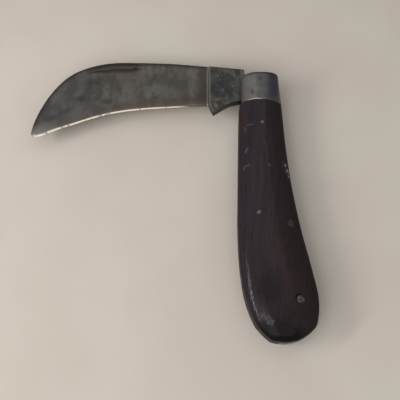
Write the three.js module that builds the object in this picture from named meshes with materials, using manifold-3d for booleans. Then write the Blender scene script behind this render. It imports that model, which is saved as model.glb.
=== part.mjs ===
import * as THREE from "three";
import { mergeVertices } from "three/addons/utils/BufferGeometryUtils.js";
import Module from "manifold-3d";

// Folding pruning knife with a hawkbill blade, half open at its half stop, lying on its side.
// Millimetres. The origin is on the pivot axis at the surface that the knife lies on, +Z is up
// along the pivot, the handle runs along -Y and the half-open blade along -X.
// Outlines are given about the pivot: slot side is -X, back (spring) side is +X.

// Main sizes: the blade past its shoulder, and how far the butt reaches past the shut tip.
const shoulder = 19.8;
const bladeLength = 69.1;
const buttPastTip = 10.05;

// Stack of the handle, from the middle plane outwards.
const tangThickness = 3.6;
const bladeSideGap = 0.1;
const seatGap = 0.05;
const linerThickness = 1.0;
const crownHeight = 4.35;
// How full the crown's arch is: 2 makes it an ellipse, 1 a straight slope down from its flat.
const fullnessAtEnd = 2.2;
const fullnessAtJoint = 1.35;
const fullnessAtButt = 1.7;

// Handle outline: bolster from its open end to the joint with the wood, then the wood.
const bolsterTop = 4.75;
const bolsterJoint = 7.3;
const bolsterSlotSide = 7.1;
const bolsterBackTop = 7.65;
const bolsterBackJoint = 8.3;
const bolsterEase = 0.7;
const bolsterCorner = { across: 1.0, down: 2.0 };
// Rows of the grip: share of the way from the joint to the butt's end, slot side, back side.
const gripRows = [
  [0, 7.75, 8.45],
  [0.075, 8.1, 8.85],
  [0.2, 8.45, 9.5],
  [0.38, 8.9, 11.15],
  [0.55, 9.25, 13.65],
  [0.7, 8.8, 16.55],
  [0.83, 7.2, 18.7],
  [0.92, 4.3, 18.0],
  [0.955, 2.1, 16.15],
  [0.98, -0.2, 13.1],
  [0.994, -2.1, 10.2],
];
const buttBottom = { x: 6.4, y: shoulder + bladeLength + buttPastTip };
const buttRounding = 12;

// Tang: three flats at one distance from the pivot, which the spring rests on.
const camFlat = 4.0;
const camCorner = 4.8;
const stopAngle = 81;
const stepFoot = 5.8;
const stepTop = { x: -5.55, y: 8.7 };

// Kick (spur) under the heel: when the blade is shut its tip lands on the spring.
const kickLanding = 19.4;
const choilCorner = 12.2;
const choilRound = 2.6;

// Blade past the shoulder: rows from the heel to the tip, each a point of the spine and one of
// the edge. Each point is a share of the blade's length and a height above the pivot.
const bladeRows = [
  [[0, 10.2], [0, -6.6]],
  [[0.205, 11.6], [0.2, -7.35]],
  [[0.41, 12.15], [0.38, -8.25]],
  [[0.563, 12.05], [0.524, -9.65]],
  [[0.7, 9.95], [0.653, -12.0]],
  [[0.81, 5.85], [0.763, -14.75]],
  [[0.9, -1.3], [0.86, -17.15]],
  [[0.96, -9.1], [0.934, -19.35]],
  [[0.988, -14.7], [0.971, -20.1]],
  [[1, -18.9], [0.992, -19.95]],
];
const spineThicknessHeel = 3.0;
const spineThicknessTip = 1.5;
const bevelThickness = 1.0;
const bevelHeight = 0.9;
const edgeThickness = 0.12;

// Long crescent nail pull on the upper face, along the spine.
const pullStart = 26.8;
const pullLength = 24;
const pullInset = 1.8;
const pullWidth = 2.7;
const pullDepth = 0.6;

// Backspring.
const springWaist = 1.8;
const springHead = 7.6;
const springArmAt = 36;
const springArm = 3.2;
const springPinWall = 1.0;
const springTailWall = 3.2;
const springTailEnd = 4.2;
const tipClearance = 4.4;

// Pins, all riveted through and filed flush.
const pinClearance = 0.05;
const pivotRadius = 1.5;
const pinRim = 0.2;
const springPinRadius = 1.35;
const scalePinRadius = 0.75;
const rivetRadius = 0.8;
const middlePin = { x: 9.75, y: -56.85 };
const endPinUp = 14.4;
const endPin = { x: 11.8, y: endPinUp - buttBottom.y };
const scalePins = { front: { x: 0.45, y: -16.85 }, rear: { x: -1.8, y: -52.9 } };
const bolsterRivet = { x: -2.8, y: -3.5 };

// Facets.
const pinSides = 24;
const cornerSteps = 6;
const archSteps = 7;
const gripSteps = 33;
const bladeSteps = 45;
const pullSteps = 12;
const springSteps = 44;

const linerInner = tangThickness / 2 + bladeSideGap;
const linerOuter = linerInner + linerThickness;
const scaleBase = linerOuter + seatGap;
const halfHeight = scaleBase + crownHeight;
const crownFlat = pivotRadius + pinRim;
const cutterReach = 1;
const crownShare = bolsterSlotSide / (bolsterSlotSide + (bolsterBackTop + bolsterBackJoint) / 2);

const wasm = await Module();
wasm.setup();

const point = (x, y) => new THREE.Vector2(x, y);

function turned(p, degrees) {
  return p.clone().rotateAround(point(0, 0), THREE.MathUtils.degToRad(degrees));
}

function solidOf(geometry) {
  const bare = geometry.clone();
  bare.deleteAttribute("normal");
  bare.deleteAttribute("uv");
  const merged = mergeVertices(bare, 1e-4);
  return new wasm.Manifold(
    new wasm.Mesh({
      numProp: 3,
      vertProperties: merged.attributes.position.array,
      triVerts: new Uint32Array(merged.index.array),
    }),
  );
}

function meshOf(name, solid, material) {
  const made = solid.getMesh();
  const geometry = new THREE.BufferGeometry();
  geometry.setAttribute("position", new THREE.BufferAttribute(made.vertProperties, 3));
  geometry.setIndex(new THREE.BufferAttribute(made.triVerts, 1));
  const mesh = new THREE.Mesh(geometry.toNonIndexed(), material);
  mesh.geometry.computeVertexNormals();
  mesh.name = name;
  return mesh;
}

// Flat plate with the given outline between two heights.
function plate(outline, low, high) {
  const geometry = new THREE.ExtrudeGeometry(new THREE.Shape(outline), {
    depth: high - low,
    bevelEnabled: false,
  });
  return solidOf(geometry.translate(0, 0, low));
}

// Round bar along Z. Pins and their holes share sides, so their facets line up.
function bar(at, radius, low, high) {
  const geometry = new THREE.CylinderGeometry(radius, radius, high - low, pinSides);
  geometry.rotateX(Math.PI / 2);
  return solidOf(geometry.translate(at.x, at.y, (low + high) / 2));
}

// Skin over convex rings of equally many points, with flat ends.
function loft(rings) {
  const sides = rings[0].length;
  const last = rings.length - 1;
  const corner = (r, s) => rings[r][s % sides];
  const faces = [];
  for (let r = 0; r < last; r += 1) {
    for (let s = 0; s < sides; s += 1) {
      faces.push([corner(r, s), corner(r, s + 1), corner(r + 1, s + 1)]);
      faces.push([corner(r, s), corner(r + 1, s + 1), corner(r + 1, s)]);
    }
  }
  for (let s = 1; s < sides - 1; s += 1) {
    faces.push([corner(0, 0), corner(0, s + 1), corner(0, s)]);
    faces.push([corner(last, 0), corner(last, s), corner(last, s + 1)]);
  }
  const volume = faces.reduce((sum, [a, b, c]) => sum + a.dot(b.clone().cross(c)), 0);
  const outward = volume > 0 ? faces : faces.map(([a, b, c]) => [a, c, b]);
  return solidOf(new THREE.BufferGeometry().setFromPoints(outward.flat()));
}

// Section of the handle from its slot point to its back point: straight past the liners,
// then an arched crown with a narrow flat along its top, the same on both sides.
function handleRing(slot, back, rise, fullness) {
  const bend = (value) => Math.max(0, value) ** (2 / fullness);
  const width = slot.distanceTo(back);
  const apex = crownShare * width;
  const flat = Math.min(crownFlat, 0.3 * apex);
  const half = [];
  for (let k = 0; k <= archSteps; k += 1) {
    const angle = (Math.PI / 2) * (k / archSteps);
    const reach = (apex - flat) * bend(Math.cos(angle));
    half.push([apex - flat - reach, scaleBase + rise * bend(Math.sin(angle))]);
  }
  for (let k = archSteps; k >= 0; k -= 1) {
    const angle = (Math.PI / 2) * (k / archSteps);
    const reach = (width - apex - flat) * bend(Math.cos(angle));
    half.push([apex + flat + reach, scaleBase + rise * bend(Math.sin(angle))]);
  }
  const over = half.map(([along, z]) => {
    const p = slot.clone().lerp(back, along / width);
    return new THREE.Vector3(p.x, p.y, z);
  });
  const under = over.map((p) => new THREE.Vector3(p.x, p.y, -p.z)).reverse();
  return [...over, ...under];
}

// One smooth line down the slot side, round the butt and up the back.
const alongGrip = (share) => -THREE.MathUtils.lerp(bolsterJoint, buttBottom.y, share);
const gripLine = new THREE.SplineCurve([
  ...gripRows.map(([share, slot]) => point(-slot, alongGrip(share))),
  point(buttBottom.x, -buttBottom.y),
  ...gripRows.map(([share, , back]) => point(back, alongGrip(share))).reverse(),
]);

// Matching stations on both sides, from the joint to half a step short of the butt's end.
const gripStations = Array.from({ length: gripSteps + 1 }, (_, i) => {
  const share = i / (2 * gripSteps + 1);
  return { slot: gripLine.getPoint(share), back: gripLine.getPoint(1 - share) };
});

function gripRise(station) {
  const toButt = buttBottom.y + (station.slot.y + station.back.y) / 2;
  const share = 1 - Math.min(1, Math.max(toButt, 0.02) / buttRounding);
  return crownHeight * Math.sqrt(1 - share * share);
}

function gripCore() {
  const rings = gripStations.map((s, i) => {
    const fullness = THREE.MathUtils.lerp(fullnessAtJoint, fullnessAtButt, i / gripSteps);
    return handleRing(s.slot, s.back, gripRise(s), fullness);
  });
  return loft(rings);
}

function bolsterBack(y) {
  const share = (bolsterTop - y) / (bolsterTop + bolsterJoint);
  return THREE.MathUtils.lerp(bolsterBackTop, bolsterBackJoint, share);
}

// Rounded corner on the slot side of the bolster's open end.
const cornerLine = Array.from({ length: cornerSteps + 1 }, (_, i) => {
  const angle = (Math.PI / 2) * (i / cornerSteps);
  const across = bolsterCorner.across * (1 - Math.sin(angle));
  return point(across - bolsterSlotSide, bolsterTop - bolsterCorner.down * (1 - Math.cos(angle)));
});

// Bolster block, with its open end eased over.
function bolsterCore() {
  const ring = (slot) => {
    const ease = bolsterEase * Math.max(0, 1 - (bolsterTop - slot.y) / bolsterEase) ** 2;
    const back = point(bolsterBack(slot.y) - ease, slot.y);
    const share = (bolsterTop - slot.y) / (bolsterTop + bolsterJoint);
    const fullness = THREE.MathUtils.lerp(fullnessAtEnd, fullnessAtJoint, share);
    return handleRing(point(slot.x + ease, slot.y), back, crownHeight - ease, fullness);
  };
  return loft([...cornerLine, point(-bolsterSlotSide, seatGap - bolsterJoint)].map(ring));
}

function linerOutline() {
  return [
    ...cornerLine,
    point(-bolsterSlotSide, -bolsterJoint),
    ...gripStations.map((s) => s.slot),
    ...gripStations.map((s) => s.back).reverse(),
    point(bolsterBackTop, bolsterTop),
  ];
}

// Back edge of the handle at a distance below the pivot, read off the same stations.
function backEdge(down) {
  const below = gripStations.findIndex((s) => -s.back.y > down);
  const a = gripStations[below - 1].back;
  const b = gripStations[below].back;
  return THREE.MathUtils.mapLinear(-down, a.y, b.y, a.x, b.x);
}

const alongBlade = ([share, height]) => point(-shoulder - share * bladeLength, height);
const spineLine = new THREE.SplineCurve(bladeRows.map(([spine]) => alongBlade(spine)));
const edgeLine = new THREE.SplineCurve(bladeRows.map(([, edge]) => alongBlade(edge)));

// Spring line: the face that the tang rides on, the waist where the kick lands, the arm,
// the walls round both pins, and the tail that wraps the butt.
function springOutline() {
  const face = camFlat + seatGap;
  const top = stepFoot - seatGap;
  const shutTip = turned(edgeLine.getPoint(1), stopAngle);
  const inner = new THREE.SplineCurve([
    point(face, -springHead),
    point(backEdge(kickLanding) - springWaist, -kickLanding),
    point(backEdge(springArmAt) - springArm, -springArmAt),
    point(middlePin.x - springPinRadius - springPinWall, middlePin.y),
    point(endPin.x - springPinRadius - springPinWall, endPin.y),
    point(shutTip.x + tipClearance, shutTip.y),
    point(springTailEnd + springTailWall, springTailWall - buttBottom.y),
    point(springTailEnd, springTailWall - buttBottom.y),
  ]);
  const tail = gripStations.map((s) => s.back).filter((p) => p.x > springTailEnd);
  return [
    point((face + bolsterBackTop) / 2, top),
    point(face, top),
    ...inner.getPoints(springSteps),
    point(springTailEnd, 0.05 - buttBottom.y),
    ...tail.reverse(),
    point(bolsterBackTop, bolsterTop),
  ];
}

// Tang with its kick, shoulder, three flats with rounded corners and the step in the spine
// that the spring's end meets when the blade is open.
function tangOutline() {
  const cornerHalf = THREE.MathUtils.radToDeg(Math.acos(camFlat / camCorner));
  const onFlat = (normal, along) => turned(point(camFlat, along), normal);
  const round = (from, to) =>
    [0, 0.33, 0.67, 1].map((k) => turned(point(camCorner, 0), from + k * (to - from)));
  const landed = point(backEdge(kickLanding) - springWaist - seatGap, -kickLanding);
  const kickTip = turned(landed, -stopAngle);
  const corner = onFlat(-stopAngle, -choilCorner);
  const intoChoil = kickTip.clone().lerp(corner, 1 - choilRound / kickTip.distanceTo(corner));
  const choil = new THREE.QuadraticBezierCurve(
    intoChoil,
    corner,
    onFlat(-stopAngle, choilRound - choilCorner),
  );
  return [
    edgeLine.getPoint(0),
    kickTip,
    ...choil.getPoints(5),
    ...round(cornerHalf - stopAngle, -cornerHalf),
    ...round(cornerHalf, stopAngle - cornerHalf),
    onFlat(stopAngle, stepFoot),
    point(stepTop.x, stepTop.y),
    spineLine.getPoint(0),
  ];
}

// The spine thins evenly from the shoulder to the tip.
function spineHalf(x) {
  const share = (-x - shoulder) / bladeLength;
  return THREE.MathUtils.lerp(spineThicknessHeel, spineThicknessTip, share) / 2;
}

// Ground blade: thick spine, flat faces down to a narrow bevel, and a fine edge.
function bladeBody() {
  const rings = Array.from({ length: bladeSteps + 1 }, (_, i) => {
    const share = i / bladeSteps;
    const s = spineLine.getPoint(share);
    const e = edgeLine.getPoint(share);
    const height = s.distanceTo(e);
    const bevel = e.clone().lerp(s, Math.min(bevelHeight / height, 0.4));
    const back = spineHalf(s.x);
    const ground = bevelThickness / 2;
    const fine = edgeThickness / 2;
    return [
      new THREE.Vector3(s.x, s.y, -back),
      new THREE.Vector3(bevel.x, bevel.y, -ground),
      new THREE.Vector3(e.x, e.y, -fine),
      new THREE.Vector3(e.x, e.y, fine),
      new THREE.Vector3(bevel.x, bevel.y, ground),
      new THREE.Vector3(s.x, s.y, back),
    ];
  });
  const root = rings[0].map((p) => new THREE.Vector3(p.x + 1, p.y, p.z));
  return loft([root, ...rings]);
}

// Cutter for the nail pull: a steep wall toward the spine and a slope that runs out in a
// crescent toward the edge.
function pullCutter() {
  const above = 1;
  const rings = Array.from({ length: pullSteps + 1 }, (_, i) => {
    const share = i / pullSteps;
    const bite = pullDepth * Math.max(4 * share * (1 - share), 0.02);
    const reach = ((bite + above) * pullWidth) / pullDepth;
    const along = (pullStart + share * pullLength) / spineLine.getLength();
    const across = turned(spineLine.getTangentAt(along), 90);
    const wall = spineLine.getPointAt(along).add(across.clone().multiplyScalar(pullInset));
    const outer = wall.clone().add(across.clone().multiplyScalar(reach));
    const back = spineHalf(wall.x);
    const height = wall.distanceTo(edgeLine.getPointAt(along)) + pullInset;
    const face = THREE.MathUtils.lerp(back, bevelThickness / 2, pullInset / height);
    return [
      new THREE.Vector3(wall.x, wall.y, face - bite),
      new THREE.Vector3(outer.x, outer.y, face + above),
      new THREE.Vector3(wall.x, wall.y, face + above),
    ];
  });
  return loft(rings);
}

function holeFor(at, radius) {
  const beyond = halfHeight + cutterReach;
  return bar(at, radius + pinClearance, -beyond, beyond);
}

function slab(low, high) {
  const size = 2 * buttBottom.y;
  const geometry = new THREE.BoxGeometry(size, size, high - low);
  return solidOf(geometry.translate(0, -size / 4, (low + high) / 2));
}

function materialOf(color, roughness, metalness) {
  return new THREE.MeshStandardMaterial({ color, roughness, metalness });
}

const knife = new THREE.Group();
knife.position.z = halfHeight;

function add(name, solid, material) {
  knife.add(meshOf(name, solid, material));
}

const core = gripCore();
const block = bolsterCore();

// Blade, tang and kick in one piece, turning on the pivot pin.
const tang = plate(tangOutline(), -tangThickness / 2, tangThickness / 2);
const blade = tang.add(bladeBody()).subtract(pullCutter()).subtract(holeFor(point(0, 0), pivotRadius));
add("blade", blade, materialOf(0x55534e, 0.45, 0.85));

// Backspring between the liners, held by the two larger pins.
const spring = plate(springOutline(), seatGap - linerInner, linerInner - seatGap)
  .subtract(holeFor(middlePin, springPinRadius))
  .subtract(holeFor(endPin, springPinRadius));
add("backspring", spring, materialOf(0x6b6b6c, 0.4, 0.9));

// One liner, bolster and wood scale on each side, with their short pins and rivet.
for (const [side, name] of [[1, "upper"], [-1, "lower"]]) {
  const between = (a, b) => [Math.min(side * a, side * b), Math.max(side * a, side * b)];
  const liner = plate(linerOutline(), ...between(linerInner, linerOuter))
    .subtract(holeFor(point(0, 0), pivotRadius))
    .subtract(holeFor(middlePin, springPinRadius))
    .subtract(holeFor(endPin, springPinRadius))
    .subtract(holeFor(scalePins.front, scalePinRadius))
    .subtract(holeFor(scalePins.rear, scalePinRadius))
    .subtract(holeFor(bolsterRivet, rivetRadius));
  add(name + "_liner", liner, materialOf(0x77787a, 0.4, 0.9));

  const outside = slab(...between(scaleBase, halfHeight + cutterReach));
  const bolster = block
    .intersect(outside)
    .subtract(holeFor(point(0, 0), pivotRadius))
    .subtract(holeFor(bolsterRivet, rivetRadius));
  add(name + "_bolster", bolster, materialOf(0x7a7b7e, 0.35, 0.9));

  const scale = core
    .intersect(outside)
    .subtract(holeFor(middlePin, springPinRadius))
    .subtract(holeFor(endPin, springPinRadius))
    .subtract(holeFor(scalePins.front, scalePinRadius))
    .subtract(holeFor(scalePins.rear, scalePinRadius));
  add(name + "_scale", scale, materialOf(0x2c2323, 0.35, 0.0));

  const ends = between(linerInner, halfHeight + cutterReach);
  for (const [place, at] of Object.entries(scalePins)) {
    const pin = bar(at, scalePinRadius, ...ends).intersect(core);
    add(name + "_scale_pin_" + place, pin, materialOf(0xb4b4b2, 0.3, 0.9));
  }
  const rivet = bar(bolsterRivet, rivetRadius, ...ends).intersect(block);
  add(name + "_bolster_rivet", rivet, materialOf(0x7a7b7e, 0.35, 0.9));
}

// Pins that go right through the handle.
const through = [-halfHeight, halfHeight];
add("pivot_pin", bar(point(0, 0), pivotRadius, ...through), materialOf(0x7a7b7e, 0.35, 0.9));
const middle = bar(middlePin, springPinRadius, ...through).intersect(core);
add("middle_spring_pin", middle, materialOf(0xb4b4b2, 0.3, 0.9));
const end = bar(endPin, springPinRadius, ...through).intersect(core);
add("end_spring_pin", end, materialOf(0xb4b4b2, 0.3, 0.9));

export default knife;
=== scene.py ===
import math

import bmesh
import bpy
from mathutils import Matrix, Vector
from mathutils.bvhtree import BVHTree
from mathutils.kdtree import KDTree


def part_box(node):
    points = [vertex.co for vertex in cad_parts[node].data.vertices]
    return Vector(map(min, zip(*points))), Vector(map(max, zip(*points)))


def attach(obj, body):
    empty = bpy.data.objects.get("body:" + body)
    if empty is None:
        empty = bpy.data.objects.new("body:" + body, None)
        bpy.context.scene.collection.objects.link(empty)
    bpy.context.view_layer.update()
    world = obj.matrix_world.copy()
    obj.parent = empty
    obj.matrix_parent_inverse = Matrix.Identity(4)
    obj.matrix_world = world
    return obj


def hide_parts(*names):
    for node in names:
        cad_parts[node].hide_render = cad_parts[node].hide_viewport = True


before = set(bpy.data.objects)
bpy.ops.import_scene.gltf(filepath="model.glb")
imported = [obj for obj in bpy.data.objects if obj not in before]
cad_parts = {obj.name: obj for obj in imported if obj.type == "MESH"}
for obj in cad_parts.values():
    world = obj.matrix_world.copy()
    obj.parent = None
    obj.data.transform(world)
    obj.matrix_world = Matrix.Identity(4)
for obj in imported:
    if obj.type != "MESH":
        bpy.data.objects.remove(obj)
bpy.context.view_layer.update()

# Liners: two punched sheet steel plates, which every other piece is riveted to. The wood and the
# bolsters are filed flush with them, so only their edges show, as a dull line round the handle.

MM = 0.001
sides = ("upper", "lower")

# The handle's outline in millimetres: share of the way from the bolster to the butt's end,
# distance of the slot side and of the back side from the pivot.
grip_rows = [
    (0, 7.75, 8.45),
    (0.075, 8.1, 8.85),
    (0.2, 8.45, 9.5),
    (0.38, 8.9, 11.15),
    (0.55, 9.25, 13.65),
    (0.7, 8.8, 16.55),
    (0.83, 7.2, 18.7),
    (0.92, 4.3, 18.0),
    (0.955, 2.1, 16.15),
    (0.98, -0.2, 13.1),
    (0.994, -2.1, 10.2),
]
butt_middle = 6.4
grip_steps = 6
joint_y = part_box("upper_scale")[1].y
butt_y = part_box("upper_scale")[0].y
open_end_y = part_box("upper_bolster")[1].y
bolster_slot_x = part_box("upper_bolster")[0].x
bolster_back_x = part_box("upper_bolster")[1].x
bolster_back_top_x = 7.65 * MM
corner_across = 1.0 * MM
corner_down = 2.0 * MM
corner_steps = 8
liner_ease = 0.08 * MM


def smooth_line(points, steps):
    """An even curve through the points, with that many steps from each to the next."""
    last = len(points) - 1
    line = []
    for i in range(last):
        a, b, c, d = (Vector(points[min(max(k, 0), last)]) for k in range(i - 1, i + 3))
        for k in range(steps):
            t = k / steps
            bend = (2 * a - 5 * b + 4 * c - d) * t**2 + (3 * b - a - 3 * c + d) * t**3
            line.append((2 * b + (c - a) * t + bend) / 2)
    return [*line, Vector(points[-1])]


def grip_y(share):
    """The place along the handle at that share of the way from the bolster to the butt."""
    return joint_y + share * (butt_y - joint_y)


grip_line = smooth_line(
    [(-slot * MM, grip_y(share)) for share, slot, back in grip_rows]
    + [(butt_middle * MM, butt_y)]
    + [(back * MM, grip_y(share)) for share, slot, back in reversed(grip_rows)],
    grip_steps,
)
# Matched points of the slot side and the back side, from the bolster to the butt.
grip_stations = list(zip(grip_line, reversed(grip_line)))[: len(grip_line) // 2]


def quarter_turn(steps):
    """Even angles from 0 to 90 degrees."""
    return [math.pi / 2 * k / steps for k in range(steps + 1)]


# The rounded corner on the slot side of the handle's open end.
corner_line = [
    Vector((
        bolster_slot_x + corner_across * (1 - math.sin(a)),
        open_end_y - corner_down * (1 - math.cos(a)),
    ))
    for a in quarter_turn(corner_steps)
]


def soften(bm, edges, width, segments=2):
    """Rounds the edges over by that width."""
    bmesh.ops.bevel(
        bm, geom=edges, offset=width, offset_type="OFFSET", segments=segments,
        profile=0.5, affect="EDGES", material=-1, clamp_overlap=True,
    )


def plate(outline, low, high, width):
    """A flat plate with that outline, its sharp edges eased by that width."""
    bm = bmesh.new()
    face = bm.faces.new([bm.verts.new((p.x, p.y, low)) for p in outline])
    made = bmesh.ops.extrude_face_region(bm, geom=[face])["geom"]
    top = [v for v in made if isinstance(v, bmesh.types.BMVert)]
    bmesh.ops.translate(bm, verts=top, vec=(0, 0, high - low))
    bmesh.ops.recalc_face_normals(bm, faces=bm.faces[:])
    flat = [f for f in bm.faces if abs(f.normal.z) > 0.9]
    soften(bm, list({e for f in flat for e in f.edges}), width)
    return bm


def piece(name, bm, body, replaced, material, sharp=30):
    """Makes the finished mesh an object that rides on its body in place of a CAD node."""
    mesh = bpy.data.meshes.new(name)
    bm.to_mesh(mesh)
    bm.free()
    mesh.shade_smooth()
    mesh.set_sharp_from_angle(angle=math.radians(sharp))
    mesh.materials.append(material)
    made = bpy.data.objects.new(name, mesh)
    bpy.context.scene.collection.objects.link(made)
    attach(made, body)
    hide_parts(replaced)


def linear(colour):
    """An sRGB hex value as the linear colour that a shader takes."""
    parts = [int(colour[k : k + 2], 16) / 255 for k in (1, 3, 5)]
    return [p / 12.92 if p < 0.04045 else ((p + 0.055) / 1.055) ** 2.4 for p in parts] + [1]


def add(tree, kind, inputs=None, output=0, **settings):
    """Adds a node with its settings and its inputs' values or links, and gives its output."""
    node = tree.nodes.new("ShaderNode" + kind)
    for key, value in settings.items():
        setattr(node, key, value)
    for key, value in (inputs or {}).items():
        if isinstance(value, bpy.types.NodeSocket):
            tree.links.new(value, node.inputs[key])
        else:
            node.inputs[key].default_value = value
    return node.outputs[output]


def new_material(name, metallic=0.0):
    """A material with its tree, its surface shader, and object coordinates in millimetres."""
    made = bpy.data.materials.new(name)
    made.use_nodes = True
    tree = made.node_tree
    shader = tree.nodes["Principled BSDF"]
    shader.inputs["Metallic"].default_value = metallic
    mm = add(tree, "Mapping", {
        "Vector": add(tree, "TexCoord", output="Object"), "Scale": (1000, 1000, 1000),
    })
    return made, tree, shader, mm


def coats(tree, base, layers):
    """Lays colours over a base, each up to its share where its mask goes from start to end."""
    base = linear(base) if isinstance(base, str) else base
    for mask, start, end, share, colour in layers:
        part = add(tree, "MapRange", {
            "Value": mask, "From Min": start, "From Max": end, "To Max": share,
        }, interpolation_type="SMOOTHSTEP")
        base = add(tree, "Mix", {0: part, 6: base, 7: linear(colour)}, 2, data_type="RGBA")
    return base


def finish(tree, shader, colour, gloss, rougher, height, depth):
    """Joins a colour, a roughness range driven by a pattern, and bump of a depth in mm."""
    tree.links.new(colour, shader.inputs["Base Color"])
    tree.links.new(add(tree, "MapRange", {
        "Value": gloss, "From Min": 0.3, "From Max": 0.7,
        "To Min": rougher[0], "To Max": rougher[1],
    }), shader.inputs["Roughness"])
    tree.links.new(add(tree, "Bump", {"Height": height, "Distance": depth * MM}),
                   shader.inputs["Normal"])


# Cold rolled mild steel: dull grey, with a fine rolled grain along it and oil stains.
liner_steel, tree, shader, mm = new_material("cold_rolled_steel", metallic=0.9)
stain = add(tree, "TexNoise", {"Vector": mm, "Scale": 1 / 3, "Detail": 4})
grain = add(tree, "TexNoise", {
    "Vector": add(tree, "Mapping", {"Vector": mm, "Scale": (1 / 0.25, 1 / 3, 1 / 0.25)}),
    "Scale": 1,
})
worn = coats(tree, "#393735", [
    (stain, 0.35, 0.65, 1, "#4b4947"),
    (grain, 0.4, 0.8, 0.4, "#2c2a28"),
])
finish(tree, shader, worn, stain, (0.38, 0.52), grain, 0.01)

liner_outline = [
    *corner_line,
    Vector((bolster_slot_x, joint_y)),
    *[slot for slot, back in grip_stations],
    *[back for slot, back in reversed(grip_stations)],
    Vector((bolster_back_top_x, open_end_y)),
]
for side in sides:
    low, high = (corner.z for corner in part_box(side + "_liner"))
    bm = plate(liner_outline, low, high, liner_ease)
    piece(side + "_liner_plate", bm, "handle", side + "_liner", liner_steel)

# Backspring: a forged and hardened bar along the handle's back. The tang rides on its free end,
# two pins hold the rest, and its tail wraps the butt.

spring_ease = 0.1 * MM
merge_reach = 0.001 * MM
flat_within = math.radians(1)
sharp_from = math.radians(40)


def merged_copy(node):
    """A copy of a CAD node, with its loose triangles joined."""
    bm = bmesh.new()
    bm.from_mesh(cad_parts[node].data)
    bmesh.ops.remove_doubles(bm, verts=bm.verts[:], dist=merge_reach)
    return bm


def sharp_edges(bm):
    """Makes one face of each flat area, and gives the sharp edges between the faces."""
    bmesh.ops.dissolve_limit(bm, angle_limit=flat_within, verts=bm.verts[:], edges=bm.edges[:])
    return [e for e in bm.edges if e.calc_face_angle(0) > sharp_from]


# Hardened spring steel: dark grey, filed across its back, and polished by the hand to a lighter
# tone than the liners.
spring_steel, tree, shader, mm = new_material("hardened_spring_steel", metallic=0.9)
stain = add(tree, "TexNoise", {"Vector": mm, "Scale": 1 / 5, "Detail": 4})
file_marks = add(tree, "TexNoise", {
    "Vector": add(tree, "Mapping", {"Vector": mm, "Scale": (3, 3, 1 / 4)}), "Scale": 1,
})
filed = coats(tree, "#4b4846", [
    (stain, 0.35, 0.65, 1, "#6a6764"),
    (file_marks, 0.4, 0.8, 0.35, "#302e2c"),
])
finish(tree, shader, filed, stain, (0.32, 0.46), file_marks, 0.012)

bm = merged_copy("backspring")
soften(bm, sharp_edges(bm), spring_ease)
piece("backspring_bar", bm, "handle", "backspring", spring_steel)

# Blade: forged carbon steel, ground flat on both faces from a thick spine to a fine edge. Its
# tang is a thicker slab with three flats, a step and a kick, and its face has a long nail pull.

low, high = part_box("blade")
blade_z = (low.z + high.z) / 2
tang_half = (high.z - low.z) / 2
tip_x = low.x
shoulder_x = -19.8 * MM
plunge = 0.7 * MM  # length of the slope from the tang's face down to the ground face
# Rows from heel to tip: share of the blade's length and height above the pivot in millimetres,
# for the spine and for the edge.
blade_rows = [
    ((0, 10.2), (0, -6.6)),
    ((0.205, 11.6), (0.2, -7.35)),
    ((0.41, 12.15), (0.38, -8.25)),
    ((0.563, 12.05), (0.524, -9.65)),
    ((0.7, 9.95), (0.653, -12.0)),
    ((0.81, 5.85), (0.763, -14.75)),
    ((0.9, -1.3), (0.86, -17.15)),
    ((0.96, -9.1), (0.934, -19.35)),
    ((0.988, -14.7), (0.971, -20.1)),
    ((1, -18.9), (0.992, -19.95)),
]
fine_steps = 60
coarse_step = 5  # fine steps from one section of the blade to the next
plunge_steps = (0, 1, 2, 3)  # the slope by the shoulder takes every fine step


def blade_point(share, height):
    """A place in the blade's plane, from its row's share of the length and its height."""
    return shoulder_x + share * (tip_x - shoulder_x), height * MM


spine_line, edge_line = (
    smooth_line([blade_point(*row[k]) for row in blade_rows], fine_steps) for k in (0, 1)
)

spine_thick = (3.0 * MM, 1.5 * MM)  # at the heel and at the tip
bevel_thick = 1.0 * MM
bevel_height = 0.9 * MM
bevel_most = 0.4  # of the blade's height
edge_thick = 0.12 * MM
# The blade's foot is this much smaller than the tang, so that the two join cleanly.
foot_play = 0.02 * MM
foot_edge = 0.98
foot_reaches = (1.4, 0.5, 0.38, 0.25, 0.12)
# The spine's worn corner: distance below the spine, and how far it is worn in, in millimetres.
worn_corner = ((0, 0.3), (0.12, 0.09), (0.38, 0))
# Rows of points across the face, in millimetres below the spine, then even ones to the bevel.
# They close up where the blade is lower than full_height.
pull_rows = (1.0, 1.7, 2.05, 2.15, 2.4, 2.7, 3.0, 3.3, 3.6, 3.9, 4.2, 4.5, 4.9)
face_rows = 8
full_height = 12 * MM
# The nail pull is struck from its upper lip down, and is deepest a third of the way along.
pull_inset = 2.15 * MM
pull_start = 26.8 * MM
pull_length = 24 * MM
pull_width = 2.7 * MM
pull_least = 0.1 * MM
pull_depth = 0.6 * MM
pull_wall = 0.02 * MM
pull_swell = 2.6
# Small nicks in the edge: place along the blade, half width and depth in millimetres.
nicks = ((-82.5, 0.5, 0.18), (-76.1, 1.1, 0.12), (-62.2, 0.5, 0.15))


def nicked(edge, spine):
    """The edge point, set back where a nick is."""
    depth = sum(d * max(0, 1 - abs(edge.x / MM - x) / half) for x, half, d in nicks)
    return edge + (spine - edge).normalized() * depth * MM


def ease(x):
    """A smooth step from 0 to 1."""
    x = min(max(x, 0), 1)
    return x * x * (3 - 2 * x)


def pull_at(travel):
    """Share of the nail pull's length at a place along the spine, and its cut and width there."""
    share = (travel - pull_start) / pull_length
    bite = pull_swell * (1 - share) * math.sqrt(share) if 0 < share < 1 else 0
    return share, bite, max(bite * pull_width, pull_least)


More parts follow.
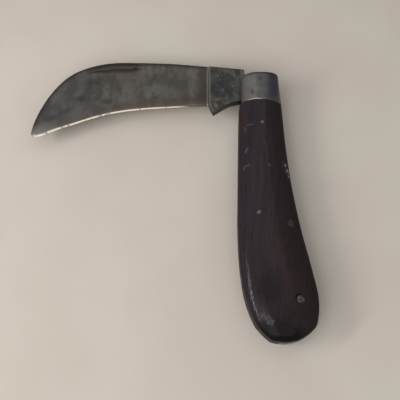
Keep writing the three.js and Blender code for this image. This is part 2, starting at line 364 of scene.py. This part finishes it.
def blade_section(spine, edge, travel):
    """A closed outline across the blade, from the spine to the edge and back up the far face."""
    height = (spine - edge).length
    down = (edge - spine) / height
    share = ease((shoulder_x + plunge / 2 - spine.x) / plunge)
    taper = (shoulder_x - spine.x) / (shoulder_x - tip_x)
    back = (spine_thick[0] + (spine_thick[1] - spine_thick[0]) * taper) / 2
    bevel = min(bevel_height, bevel_most * height)
    squeeze = min(1, height / full_height) * MM
    _, bite, width = pull_at(travel)

    def half(depth):
        ground = back + (bevel_thick / 2 - back) * depth / (height - bevel)
        return (tang_half - foot_play) * (1 - share) + ground * share

    def cut(depth):
        into = (depth - pull_inset + pull_wall) / width
        return bite * pull_depth * (1 - into) if 0 <= into < 1 else 0

    rows = [(d * squeeze, half(d * squeeze) - worn * MM) for d, worn in worn_corner]
    rows += [(d * squeeze, half(d * squeeze)) for d in pull_rows]
    low = rows[-1][0]
    for k in range(1, face_rows + 1):
        depth = low + (height - bevel - low) * k / face_rows
        rows.append((depth, half(depth)))
    edge_half = tang_half * (1 - share) * foot_edge + edge_thick / 2 * share
    rows.append((height, edge_half))
    upper = [(*(spine + down * d), blade_z + z - cut(d)) for d, z in rows]
    lower = [(*(spine + down * d), blade_z - z) for d, z in reversed(rows)]
    return upper + lower


same_place = 0.0005 * MM


def skin(sections):
    """A closed skin over a row of closed outlines: a grid wrapped round them, then its ends."""
    around, along = len(sections[0]), len(sections) - 1
    bm = bmesh.new()
    bmesh.ops.create_grid(bm, x_segments=around, y_segments=along, size=0.5)
    for v in bm.verts:
        section = sections[round((v.co.y + 0.5) * along)]
        v.co = section[round((v.co.x + 0.5) * around) % around]
    bmesh.ops.remove_doubles(bm, verts=bm.verts[:], dist=same_place)
    bmesh.ops.holes_fill(bm, edges=bm.edges[:], sides=0)
    bmesh.ops.recalc_face_normals(bm, faces=bm.faces[:])
    return bm


travelled = [0.0]
for a, b in zip(spine_line, spine_line[1:]):
    travelled.append(travelled[-1] + (b - a).length)
sections = []
for reach in foot_reaches:
    foot = Vector((reach * MM, 0))
    sections.append(blade_section(spine_line[0] + foot, edge_line[0] + foot, 0))
tip = len(spine_line) - 1
for i in [*plunge_steps, *range(coarse_step, tip, coarse_step), tip]:
    edge = nicked(edge_line[i], spine_line[i])
    sections.append(blade_section(spine_line[i], edge, travelled[i]))
blade_bm = skin(sections)

# The tang is the CAD blade's own slab up to the shoulder, with its outline eased. The pivot's
# hole and the cut that the blade covers stay sharp.
tang_ease = 0.15 * MM
off_cut = 0.05 * MM
off_pivot = 2 * MM
tang_start = 0.3 * MM  # from the shoulder towards the pivot, where the blade's foot covers it
tang_bm = merged_copy("blade")
cut_x = shoulder_x + tang_start
whole = tang_bm.verts[:] + tang_bm.edges[:] + tang_bm.faces[:]
bmesh.ops.bisect_plane(
    tang_bm, geom=whole, plane_co=(cut_x, 0, 0), plane_no=(-1, 0, 0), clear_outer=True,
)
bmesh.ops.holes_fill(tang_bm, edges=tang_bm.edges[:], sides=0)
outline = [
    e for e in sharp_edges(tang_bm)
    if any(v.co.x > cut_x + off_cut for v in e.verts)
    and min(v.co.xy.length for v in e.verts) > off_pivot
]
soften(tang_bm, outline, tang_ease)

# The ground blade and the tang are one forging, so their two closed meshes are joined.
pair = []
for bm in (blade_bm, tang_bm):
    mesh = bpy.data.meshes.new("forging")
    bm.to_mesh(mesh)
    bm.free()
    pair.append(bpy.data.objects.new("forging", mesh))
    bpy.context.scene.collection.objects.link(pair[-1])
join = pair[0].modifiers.new("join", "BOOLEAN")
join.operation = "UNION"
join.solver = "EXACT"
join.object = pair[1]
blade_bm = bmesh.new()
blade_bm.from_object(pair[0], bpy.context.evaluated_depsgraph_get())
for spent in pair:
    bpy.data.objects.remove(spent)


def near(line):
    """Finds the point of a line that is nearest to a place in the blade's plane."""
    tree = KDTree(len(line))
    for i, p in enumerate(line):
        tree.insert((p.x, p.y, 0), i)
    tree.balance()
    return lambda v: tree.find((v.x, v.y, 0))


# The finish follows the grind, so each vertex knows how far it is past the shoulder, above the
# edge and below the spine. Near the nail pull it also knows where to paint shade in its bowl,
# darkest by the deep upper wall and also over the face up to the spine, where a painted highlight
# lies on the lip over the bowl, and where the darker strip between the lip and the spine is.
lip_width = (-0.02, 0.13)  # shares of the pull's width and of its length
lip_length = (0.15, 0.75)
strip_from = -0.1
bowl_fill = 2.5  # how soon the bowl's painted shade is full along it, and how late it fades downwards
bowl_fade = 0.7
near_edge, near_spine = near(edge_line), near(spine_line)
grind = blade_bm.verts.layers.float_vector.new("grind")
pulled = blade_bm.verts.layers.float_vector.new("pull")
for v in blade_bm.verts:
    _, at, below = near_spine(v.co)
    v[grind] = ((shoulder_x - v.co.x) / MM, near_edge(v.co)[2] / MM, below / MM)
    share, bite, width = pull_at(travelled[at])
    into = (below - pull_inset) / width
    if v.co.z > blade_z and into < 1:
        shade = min(1, bowl_fill * bite) * (1 if into < 0 else (1 - into) ** bowl_fade)
        lip_highlight = lip_width[0] < into < lip_width[1] and lip_length[0] < share < lip_length[1]
        v[pulled] = (shade, lip_highlight, bite * (into < strip_from))

# Forged carbon steel with years of patina: a soft grey-brown mottle, darker along the spine and on
# the tang, brown near the edge, and bright where it has been honed, with painted shade in the nail
# pull and a painted highlight on its lip.
blade_steel, tree, shader, mm = new_material("patinated_carbon_steel", metallic=0.85)
grind = add(tree, "Attribute", output="Vector", attribute_name="grind")
along, above, below = add(tree, "SeparateXYZ", {"Vector": grind}, slice(0, 3))
pull = add(tree, "Attribute", output="Vector", attribute_name="pull")
bowl_shade, lip_highlight, strip = add(tree, "SeparateXYZ", {"Vector": pull}, slice(0, 3))
cloud = add(tree, "TexNoise", {"Vector": mm, "Scale": 1 / 13, "Detail": 2})
mottle = add(tree, "TexNoise", {
    "Vector": add(tree, "Mapping", {"Vector": mm, "Scale": (1 / 4, 1 / 6, 1 / 6)}), "Scale": 1,
    "Detail": 6, "Roughness": 0.56,
})
speck = add(tree, "TexNoise", {"Vector": mm, "Scale": 1.1, "Detail": 2})
scratch = add(tree, "TexNoise", {
    "Vector": add(tree, "Mapping", {"Vector": mm, "Scale": (1 / 6, 3, 3)}), "Scale": 1,
})


def marks(tree, mm, places):
    """A mask of soft-edged marks: centre, reach across and along in millimetres, and turn."""
    mask = None
    for x, y, z, across, along, turn in places:
        local = add(tree, "Mapping", {
            "Vector": mm, "Location": (x, y, z), "Rotation": (0, 0, math.radians(turn)),
            "Scale": (across, along, 4),
        }, vector_type="TEXTURE")
        away = add(tree, "VectorMath", {0: local}, "Value", operation="LENGTH")
        spot = add(tree, "MapRange", {"Value": away, "From Min": 1, "From Max": 0},
                   interpolation_type="SMOOTHSTEP")
        mask = spot if mask is None else add(tree, "Math", {0: mask, 1: spot}, operation="MAXIMUM")
    return mask


stains = marks(tree, mm, [
    (-81.7, -12.4, 7.9, 4.5, 2.9, 20),
    (-75.5, -9.0, 7.9, 5.5, 2.6, 15),
    (-72.2, -3.9, 8.0, 6.4, 2.4, 5),
    (-59.4, -5.0, 7.9, 3.4, 2.6, 0),
    (-67.0, 3.0, 8.2, 9.0, 4.0, 25),
])
brown = add(tree, "Math", {
    0: add(tree, "MapRange", {"Value": above, "From Min": 6.5, "From Max": 1.5}),
    1: add(tree, "MapRange", {"Value": along, "From Min": 48, "From Max": 34}),
}, operation="MULTIPLY")
stains = add(tree, "Math", {0: stains, 1: mottle}, operation="MULTIPLY")
patina = coats(tree, "#605c57", [
    (mottle, 0.39, 0.61, 0.85, "#484540"),
    (cloud, 0.42, 0.6, 0.4, "#4f4d4b"),
    (along, 34, 60, 0.25, "#474749"),
    (scratch, 0.62, 0.8, 0.25, "#7a7670"),
    (brown, 0.1, 1, 0.5, "#4b3e33"),
    (above, 3.2, 0.6, 0.3, "#705f52"),
    (stains, 0.05, 0.55, 0.6, "#36363a"),
    (below, 2.4, 0.1, 0.75, "#33302d"),
    # Painted shade in and over the nail pull, the darker strip, and a painted highlight on the
    # lip.
    (bowl_shade, 0.05, 0.8, 0.75, "#3c3634"),
    (strip, 0.2, 1, 0.5, "#2a2422"),
    (lip_highlight, 0, 1, 0.85, "#857d79"),
    (speck, 0.68, 0.76, 0.6, "#2f2d2a"),
])
# The heel's dark strip, and the darker tang: blue where it was hottest, brown by the kick.
tang_mottle = add(tree, "TexNoise", {"Vector": mm, "Scale": 1 / 3.5, "Detail": 3})
on_tang = add(tree, "MapRange", {"Value": along, "From Min": 0.3, "From Max": -0.5})
blued = marks(tree, mm, [(-16.2, 1.0, 9, 4.5, 6.5, 10), (-12.4, -3.0, 9, 4, 5, 0)])
browned = marks(tree, mm, [(-17.8, -7.6, 9, 3.8, 6, 20)])
rubbed = marks(tree, mm, [
    (-18.4, -8.8, 9, 0.6, 4.5, 18), (-17.0, -7.2, 9, 1.3, 2.4, 30), (-14.2, -0.4, 9, 1.0, 1.3, 0),
    (-10.1, 1.2, 9, 1.0, 1.0, 0), (-16.2, -4.6, 9, 2.2, 1.2, 20), (-12.2, -6.6, 9, 2.0, 1.0, -15),
])
tang_tone = coats(tree, "#4c4946", [
    (tang_mottle, 0.38, 0.62, 0.85, "#363736"),
    (blued, 0, 0.9, 0.5, "#2b2b34"),
    (browned, 0, 0.9, 0.5, "#4c413a"),
    (mottle, 0.48, 0.64, 0.45, "#6b6662"),
    (rubbed, 0.1, 1, 0.28, "#8a8683"),
    (speck, 0.66, 0.76, 0.6, "#a09c97"),
    (along, -12.4, -13.0, 0.28, "#85827b"),
])
patina = coats(tree, patina, [(along, 6, 2, 0.7, "#3d3a35")])
patina = add(tree, "Mix", {0: on_tang, 6: patina, 7: tang_tone}, 2, data_type="RGBA")
# The forged sides, which face outwards and not up, get painted shade, and the shoulder a painted
# highlight.
# The honed edge starts past the heel, widens towards the tip, and is broken by nicks and specks.
facing = add(tree, "SeparateXYZ", {"Vector": add(tree, "TexCoord", output="Normal")}, "Z")
side_shade = add(tree, "Math", {0: facing}, operation="ABSOLUTE")
shoulder_highlight = add(tree, "Math", {0: along}, operation="ABSOLUTE")
breaks = marks(tree, mm, [
    (-82.9, -18.7, 7.3, 0.8, 1.4, 20),
    (-76.9, -16.4, 7.3, 0.9, 1.4, 20),
    (-74.5, -15.4, 7.3, 0.8, 1.4, 20),
    (-62.1, -11.1, 7.3, 0.8, 1.4, 15),
])
widened = add(tree, "Math", {0: along, 1: -0.006, 2: above}, operation="MULTIPLY_ADD")
honed = add(tree, "MapRange", {"Value": widened, "From Min": 0.4, "From Max": 0.12})
for mask, start, end in (
    (along, 6, 13), (along, 69, 65.5), (speck, 0.72, 0.56), (breaks, 1, 0.3),
):
    clear = add(tree, "MapRange", {"Value": mask, "From Min": start, "From Max": end})
    honed = add(tree, "Math", {0: honed, 1: clear}, operation="MULTIPLY")
# A painted highlight lightens the face towards the tip, most near the edge.
tip_highlight = add(tree, "Math", {
    0: add(tree, "MapRange", {"Value": along, "From Min": 54, "From Max": 66}),
    1: add(tree, "MapRange", {"Value": above, "From Min": 6, "From Max": 0.5}),
}, operation="MULTIPLY")
patina = coats(tree, patina, [
    (side_shade, 0.5, 0.2, 0.75, "#2b2925"),
    (shoulder_highlight, 1.0, 0.3, 0.42, "#918c86"),
    (tip_highlight, 0, 1, 0.55, "#928e89"),
    (honed, 0, 1, 1, "#cdc6b7"),
])
pits = add(tree, "MapRange", {"Value": speck, "From Min": 0.76, "From Max": 0.62})
wear = add(tree, "Math", {0: pits, 1: mottle}, operation="ADD")
finish(tree, shader, patina, add(tree, "Mix", {0: honed, 2: mottle, 3: 0.2}),
       (0.34, 0.52), wear, 0.03)

piece("ground_blade", blade_bm, "blade", "blade", blade_steel, sharp=24)

# Bolsters: solid steel caps over the pivot end, riveted to the liners and filed to a low arch
# that runs on into the wood.

scale_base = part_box("upper_bolster")[0].z - blade_z
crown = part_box("upper_bolster")[1].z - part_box("upper_bolster")[0].z
bolster_ease = 0.7 * MM
ease_steps = 6
foot_ease = 0.06 * MM
seam_gap = 0.05 * MM
crown_flat = 1.7 * MM
crown_flat_most = 0.3  # of the way from the slot side to the crown
# The arch's fullness: 2 is an ellipse, 1 a straight slope.
full_at_end, full_at_joint, full_at_swell = 2.2, 1.35, 1.75
slot_full_at_end = 1.6
# The crown runs over the pivot, at this share of the handle's width.
crown_share = -bolster_slot_x / ((bolster_back_top_x + bolster_back_x) / 2 - bolster_slot_x)
arch_steps = 20


def arch(slot, back, rise, slot_full, back_full):
    """A closed outline across one side of the handle: flat underneath, arched above."""
    width = (back - slot).length
    apex = crown_share * width
    flat = min(crown_flat, crown_flat_most * apex)
    slot_curve, back_curve = (
        [(max(0, math.cos(a)) ** (2 / full), math.sin(a) ** (2 / full))
         for a in quarter_turn(arch_steps)]
        for full in (slot_full, back_full)
    )
    rows = [((apex - flat) * (1 - across), rise * up) for across, up in slot_curve]
    rows += [(apex + flat + (width - apex - flat) * across, rise * up)
             for across, up in reversed(back_curve)]
    return [(*slot.lerp(back, along / width), scale_base + z) for along, z in rows]


def bolster_sections():
    """The arches of one bolster, drawn in at its eased end and at its rounded corner."""
    ys = [open_end_y - bolster_ease * (1 - math.cos(a)) for a in quarter_turn(ease_steps)]
    ys += [p.y for p in corner_line if p.y < ys[-1]] + [joint_y + seam_gap]
    made = []
    for y in ys:
        drop = max(0, 1 - (open_end_y - y) / bolster_ease)
        inset = bolster_ease * (1 - math.sqrt(1 - drop**2))
        corner = max(0, 1 - (open_end_y - y) / corner_down)
        corner_x = bolster_slot_x + corner_across * (1 - math.sqrt(1 - corner**2))
        down = (open_end_y - y) / (open_end_y - joint_y)
        back_x = bolster_back_top_x + (bolster_back_x - bolster_back_top_x) * down
        fulls = [end + (full_at_joint - end) * down for end in (slot_full_at_end, full_at_end)]
        slot, back = Vector((corner_x + inset, y)), Vector((back_x - inset, y))
        made.append(arch(slot, back, crown - inset, *fulls))
    return made


def set_side(bm, side):
    """Moves a piece made about the middle plane to the upper or the lower side."""
    if side == "lower":
        bmesh.ops.scale(bm, verts=bm.verts[:], vec=(1, 1, -1))
    bmesh.ops.translate(bm, verts=bm.verts[:], vec=(0, 0, blade_z))
    bmesh.ops.recalc_face_normals(bm, faces=bm.faces[:])


# Satin mild steel: brushed across the arch, with small pits and a darker eased end. Its warm grey
# slot side and blue-grey back, with a greyer patch low on the back, are a painted reflection, and
# the lower edge by the seam carries painted highlights.
bolster_steel, tree, shader, mm = new_material("satin_mild_steel", metallic=0.9)
across, along = add(tree, "SeparateXYZ", {"Vector": mm}, slice(0, 2))
drift = add(tree, "TexNoise", {"Vector": mm, "Scale": 1 / 5, "Detail": 3})
swayed = add(tree, "Math", {0: drift, 1: 5, 2: across}, operation="MULTIPLY_ADD")
brushed = add(tree, "TexNoise", {
    "Vector": add(tree, "Mapping", {"Vector": mm, "Scale": (1 / 4, 1 / 0.25, 1 / 4)}),
    "Scale": 1,
})
speck = add(tree, "TexNoise", {"Vector": mm, "Scale": 1.3, "Detail": 2})
rivets = marks(tree, mm, [(-2.95, -3.75, 14.2, 1.5, 2.3, 0), (0.4, 1.9, 14.4, 1.8, 1.3, 0)])
dimple = marks(tree, mm, [(-3.1, -4.3, 14.1, 0.9, 0.8, 0)])
seam_highlight = marks(tree, mm, [(-2.0, -7.1, 14.1, 4.6, 0.5, 0)])
grey_back_patch = marks(tree, mm, [(6.5, -8.0, 12.5, 5.5, 4.2, 0)])
satin = coats(tree, "#797472", [
    # Painted reflection: warm grey on the slot side, blue-grey on the back, greyer low on the
    # back.
    (swayed, -1.5, 3, 1, "#5e5e5d"),
    (swayed, 4.5, 8, 0.9, "#424459"),
    (grey_back_patch, 0.1, 0.6, 0.75, "#5b5656"),
    (across, 7.0, 7.7, 0.7, "#77756b"),
    (drift, 0.42, 0.66, 0.35, "#4c4a48"),
    (brushed, 0.45, 0.8, 0.2, "#8d8985"),
    (along, 3.1, 4.0, 0.7, "#463b38"),
    # Painted highlights along the bolster's lower edge and its seam.
    (along, -6.9, -7.15, 0.25, "#b0aca6"),
    (seam_highlight, 0.1, 0.7, 0.65, "#d0ccc8"),
    (speck, 0.68, 0.76, 0.5, "#3b3a3a"),
    (rivets, 0, 1, 0.5, "#3c4440"),
    (dimple, 0.1, 0.8, 0.55, "#2f3430"),
])
pits = add(tree, "MapRange", {"Value": speck, "From Min": 0.76, "From Max": 0.6})
pits = add(tree, "Math", {0: pits, 1: rivets}, operation="SUBTRACT")
finish(tree, shader, satin, drift, (0.42, 0.54),
       add(tree, "Math", {0: brushed, 1: 0.4, 2: pits}, operation="MULTIPLY_ADD"), 0.02)

bolster_skin = {}
for side in sides:
    bm = skin(bolster_sections())
    foot = [e for e in bm.edges if all(v.co.z < scale_base + merge_reach for v in e.verts)]
    soften(bm, [e for e in foot if e.calc_face_angle(0) > 1], foot_ease, segments=1)
    set_side(bm, side)
    bolster_skin[side] = BVHTree.FromBMesh(bm)
    piece(side + "_bolster_cap", bm, "handle", side + "_bolster",
          bolster_steel, sharp=35)

# Scales: rosewood slabs on each liner, shaped to a low crown that falls away round the butt, then
# oiled and rubbed by years of use.

butt_rounding = 12 * MM
butt_land = 0.02 * MM


def scale_sections():
    """The arches of one scale, which fall away over the last of the butt."""
    made = []
    for i, (slot, back) in enumerate(grip_stations):
        to_butt = max((slot.y + back.y) / 2 - butt_y, butt_land)
        fall = 1 - min(1, to_butt / butt_rounding)
        full = full_at_joint + (full_at_swell - full_at_joint) * min(1, 2 * i / len(grip_stations))
        made.append(arch(slot, back, crown * math.sqrt(1 - fall**2), full, full))
    return made


def middle(node):
    """The middle of a node's box, and half its width along x."""
    low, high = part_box(node)
    return (low + high) / 2, (high.x - low.x) / 2


def pin_mark(node, z, past):
    """A round mark on a pin at that height, reaching past its rim, in millimetres."""
    at, radius = middle(node)
    reach = radius / MM + past
    return at.x / MM, at.y / MM, z, reach, reach, 0


# Oiled rosewood: near-black heartwood with faint red-brown streaks along the handle, fine pores,
# a hand-rubbed polish, and pale scuffs and dents where it has been knocked.
rosewood, tree, shader, mm = new_material("oiled_rosewood")
shader.inputs["Specular IOR Level"].default_value = 0.01
shader.inputs["Coat Weight"].default_value = 0.155
shader.inputs["Coat Roughness"].default_value = 0.1
wander = add(tree, "TexNoise", {"Vector": mm, "Scale": 1 / 20, "Detail": 1})
sway = add(tree, "CombineXYZ", {
    "X": add(tree, "Math", {0: wander, 1: 7}, operation="MULTIPLY"),
})
flow = add(tree, "VectorMath", {0: mm, 1: sway}, operation="ADD")
streak = add(tree, "TexNoise", {
    "Vector": add(tree, "Mapping", {"Vector": flow, "Scale": (1 / 1.5, 1 / 34, 1 / 1.5)}),
    "Scale": 1, "Detail": 5, "Roughness": 0.6,
})
broad = add(tree, "TexNoise", {
    "Vector": add(tree, "Mapping", {"Vector": flow, "Scale": (1 / 5, 1 / 22, 1 / 5)}), "Scale": 1,
})
# Real pores are about 0.2 mm wide; they are drawn 0.35 mm wide so that they show.
pores = add(tree, "TexNoise", {
    "Vector": add(tree, "Mapping", {"Vector": flow, "Scale": (1 / 0.35, 1 / 4, 1 / 0.35)}),
    "Scale": 1, "Detail": 2,
})
rub = add(tree, "TexNoise", {"Vector": mm, "Scale": 1.2, "Detail": 5, "Roughness": 0.7})
handled = add(tree, "TexNoise", {"Vector": mm, "Scale": 1.4, "Detail": 1})
across = add(tree, "SeparateXYZ", {"Vector": mm}, "X")
dents = marks(tree, mm, [
    (-5.7, -28.2, 13.0, 0.9, 2.2, -25),
    (-5.5, -34.4, 13.1, 2.0, 0.8, 10),
    (-6.7, -35.2, 12.8, 0.7, 1.6, -10),
    (2.6, -34.5, 14.5, 0.8, 1.2, 0),
    (-4.3, -17.8, 14.0, 2.8, 0.6, 0),
    (-6.0, -19.6, 13.6, 0.6, 2.4, 0),
])
scuffs = marks(tree, mm, [
    (-1.3, -90.0, 13.5, 1.8, 2.6, 20),
    (0.4, -91.6, 13.3, 2.0, 2.6, 20),
    (1.6, -92.6, 12.9, 1.3, 2.0, -10),
    (8.3, -33.6, 12.2, 1.5, 2.6, 10),
    (9.3, -36.4, 11.5, 1.5, 3.2, 10),
])
scraped = add(tree, "TexNoise", {
    "Vector": add(tree, "Mapping", {
        "Vector": mm, "Rotation": (0, 0, math.radians(20)), "Scale": (1 / 0.5, 1 / 1.6, 1),
    }),
    "Scale": 1, "Detail": 3, "Roughness": 0.7,
})
chips = marks(tree, mm, [
    (8.9, -33.8, 11.8, 0.7, 1.3, 10), (9.6, -35.9, 11.3, 0.7, 1.7, 10),
    (9.9, -38.2, 11.2, 0.5, 1.2, 10), (13.6, -74.5, 9, 0.7, 1.5, 20),
])
scuffs = add(tree, "Math", {
    0: scuffs, 1: add(tree, "MapRange", {"Value": scraped, "From Min": 0.42, "From Max": 0.6}),
}, operation="MULTIPLY")
reddened = marks(tree, mm, [
    (-8.2, -19.0, 12.0, 3.5, 11, 0), (-6.8, -12.5, 12.5, 3.5, 8, 0),
    (3.5, -68.0, 13.5, 6, 16, 15), (6.3, -79, 13, 9, 13, 0), (14.5, -90, 10.5, 5, 9, 0),
])
reddened = add(tree, "Math", {0: reddened, 1: broad}, operation="MULTIPLY")
# Painted shade darkens the wood round the butt, and low on the slot side near it.
butt_shade = marks(tree, mm, [
    (4, -100, 11, 15, 16, 0), (4.2, -96.2, 12.5, 12, 8.5, 0), (-9.5, -80, 9, 4, 26, 0),
])
clouded = marks(tree, mm, [(1.5, -80.5, 14.4, 8, 9, 0)])
# Dirt fills the gap round each pin, and a painted shadow lies on one side of the end pin.
gap = 0.35
scale_faces = (1.5, 13.2)
gaps_and_shadow = marks(tree, mm, [
    pin_mark(node, z, gap)
    for node in ("middle_spring_pin", "end_spring_pin", "upper_scale_pin_front",
                 "upper_scale_pin_rear")
    for z in scale_faces
] + [(11.3, -84.0, 13.2, 2.0, 2.0, 0)])
heart = coats(tree, "#262024", [
    (streak, 0.3, 0.72, 1, "#302a2f"),
    (broad, 0.45, 0.6, 0.5, "#2c2322"),
    (across, 0, 8, 0.7, "#282020"),
    (reddened, 0.05, 0.45, 0.5, "#352625"),
    (clouded, 0, 0.8, 0.5, "#171516"),
    (butt_shade, 0, 0.6, 0.88, "#0c0a0b"),
    (pores, 0.6, 0.72, 0.6, "#0d0909"),
    (dents, 0.1, 0.9, 0.26, "#6a6566"),
    (scuffs, 0.05, 0.7, 0.4, "#6b6a63"),
    (chips, 0.2, 0.9, 0.55, "#a39d95"),
    (gaps_and_shadow, 0.05, 0.3, 0.8, "#0a0707"),
])
sunk = add(tree, "MapRange", {"Value": pores, "From Min": 0.74, "From Max": 0.58})
sunk = add(tree, "Math", {0: dents, 1: -1.5, 2: sunk}, operation="MULTIPLY_ADD")
sunk = add(tree, "Math", {0: scuffs, 1: -2, 2: sunk}, operation="MULTIPLY_ADD")
finish(tree, shader, heart, rub, (0.42, 0.56), sunk, 0.04)
tree.links.new(add(tree, "Bump", {"Height": handled, "Distance": 0.055 * MM}),
               shader.inputs["Coat Normal"])

surface = {}
for side in sides:
    bm = skin(scale_sections())
    set_side(bm, side)
    surface[side] = BVHTree.FromBMesh(bm)
    piece(side + "_scale_slab", bm, "handle", side + "_scale", rosewood, sharp=50)

# Pins and rivets: soft steel rod through the handle, hammered over and filed flush with the
# surface, so each shows as a small disc with a dark line of dirt round it.

# Filed soft steel: grey, with file marks and stains. The pin in the middle is the most tarnished.
pin_steel, tree, shader, mm = new_material("filed_soft_steel", metallic=0.85)
stain = add(tree, "TexNoise", {"Vector": mm, "Scale": 1 / 1.3, "Detail": 4})
file_marks = add(tree, "TexNoise", {
    "Vector": add(tree, "Mapping", {"Vector": mm, "Scale": (0.7, 4, 4)}), "Scale": 1,
})
tarnished = marks(tree, mm, [pin_mark("middle_spring_pin", scale_faces[1], 1.65)])
filed = coats(tree, "#453f40", [
    (stain, 0.38, 0.62, 1, "#6a6462"),
    (file_marks, 0.5, 0.75, 0.6, "#38352f"),
    (tarnished, 0, 0.4, 0.5, "#2c2726"),
])
finish(tree, shader, filed, stain, (0.36, 0.5), file_marks, 0.015)


rod_sides = 40
rim = 0.05 * MM
rings = (0.45, 0.3)  # insets of the filed end, as shares of the radius
dome = 6  # how late the end curves down towards its rim
ray_start = 0.1  # metres over and under the knife, from where its surface is sought


def rod(node, skins, filed_sides, proud):
    """A pin whose ends on those sides follow the surfaces that they are filed flush with."""
    at, radius = middle(node)
    low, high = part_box(node)
    bm = bmesh.new()
    bmesh.ops.create_cone(
        bm, cap_ends=True, segments=rod_sides, radius1=radius, radius2=radius, depth=2 * MM,
    )
    for inset in (rim, *(radius * ring for ring in rings)):
        caps = [f for f in bm.faces if len(f.verts) == rod_sides]
        bmesh.ops.inset_individual(bm, faces=caps, thickness=inset, depth=0)
    bmesh.ops.translate(bm, verts=bm.verts[:], vec=(at.x, at.y, 0))
    for v in bm.verts:
        side, up = ("upper", 1) if v.co.z > 0 else ("lower", -1)
        if side not in filed_sides:
            v.co.z = high.z if up > 0 else low.z
            continue
        inside = 1 - ((v.co.xy - at.xy).length / radius) ** dome
        start = Vector((v.co.x, v.co.y, ray_start * up))
        hit = skins[side].ray_cast(start, Vector((0, 0, -up)))[0]
        v.co.z = hit.z + up * proud * inside
    bmesh.ops.recalc_face_normals(bm, faces=bm.faces[:])
    return bm


# Each row: the pin, the sides where its end shows, and how far it stands proud in millimetres.
wood_pins = (
    ("middle_spring_pin", sides, 0.05),
    ("end_spring_pin", sides, 0.05),
    ("upper_scale_pin_front", ("upper",), 0.05),
    ("upper_scale_pin_rear", ("upper",), 0.05),
    ("lower_scale_pin_front", ("lower",), 0.05),
    ("lower_scale_pin_rear", ("lower",), 0.05),
)
bolster_pins = (
    ("pivot_pin", sides, 0.015),
    ("upper_bolster_rivet", ("upper",), 0.02),
    ("lower_bolster_rivet", ("lower",), 0.02),
)
for pins, skins, slot, material in (
    (wood_pins, surface, "pin_steel", pin_steel),
    (bolster_pins, bolster_skin, "bolster_steel", bolster_steel),
):
    for node, filed_sides, proud in pins:
        name = node.replace("_pin", "_rod").replace("_rivet", "_rod")
        bm = rod(node, skins, filed_sides, proud * MM)
        piece(name, bm, "handle", node, material)

# Table, light and camera: a plain pale table, soft light from the left, the front and above, a
# narrow gap of daylight that the polish mirrors, and the camera high above the butt.

# Painted board: matt, warm pale grey, with a faint mottle.
board, tree, shader, mm = new_material("matt_painted_board")
shader.inputs["Roughness"].default_value = 0.8
shader.inputs["Specular IOR Level"].default_value = 0.2
mottle = add(tree, "TexNoise", {"Vector": mm, "Scale": 1 / 45, "Detail": 3})
tree.links.new(coats(tree, "#c0b7ac", [(mottle, 0.35, 0.65, 1, "#c4bcb1")]),
               shader.inputs["Base Color"])

table_half = 1.5
bm = bmesh.new()
bmesh.ops.create_grid(bm, x_segments=1, y_segments=1, size=table_half)
mesh = bpy.data.meshes.new("table_top")
bm.to_mesh(mesh)
bm.free()
mesh.materials.append(board)
table = bpy.data.objects.new("table_top", mesh)
bpy.context.scene.collection.objects.link(table)


def lamp(name, place, target, along, size, power):
    """A soft flat light that faces the target, with its long side turned along a direction."""
    light = bpy.data.lights.new(name, "AREA")
    light.shape = "RECTANGLE"
    light.size, light.size_y = size
    light.energy = power
    back = (Vector(place) - Vector(target)).normalized()
    side = (Vector(along) - back * back.dot(Vector(along))).normalized()
    turn = Matrix((side, back.cross(side), back)).transposed().to_4x4()
    made = bpy.data.objects.new(name, light)
    made.matrix_world = Matrix.Translation(place) @ turn
    bpy.context.scene.collection.objects.link(made)


handle_middle = (0.0, -0.045, 0.01)
lamp("window_wall", (-0.35, -0.34, 0.42), handle_middle, (0, 1, 0), (0.6, 0.5), 1.44)
lamp("window_gap", (-0.404, -0.12, 0.27), (-0.004, -0.08, 0.012), (0.06, 0.255, 0.135),
     (0.26, 0.022), 0.8)
lamp("front_wall", (-0.15, -0.8, 1.1), handle_middle, (1, 0, 0), (1.4, 0.9), 4.4)
lamp("ceiling_light", (-0.05, 0.3, 0.8), handle_middle, (1, 0, 0), (0.8, 0.5), 0.92)

world = bpy.data.worlds.new("plain_room")
world.use_nodes = True
room = world.node_tree.nodes["Background"]
room.inputs["Color"].default_value = linear("#ffffff")
room.inputs["Strength"].default_value = 0.36
bpy.context.scene.world = world

looks_down = 71  # degrees below the horizon
focal_pixels = 654
image_pixels = 400
camera = bpy.data.objects.new("camera", bpy.data.cameras.new("camera"))
camera.location = (-0.0232, -0.1259, 0.2396)
camera.rotation_euler = (math.radians(90 - looks_down), 0, 0)
camera.data.sensor_width = 36
camera.data.lens = camera.data.sensor_width * focal_pixels / image_pixels
camera.data.clip_start = 0.01
bpy.context.scene.collection.objects.link(camera)
bpy.context.scene.camera = camera

bpy.context.scene.view_settings.view_transform = "Standard"
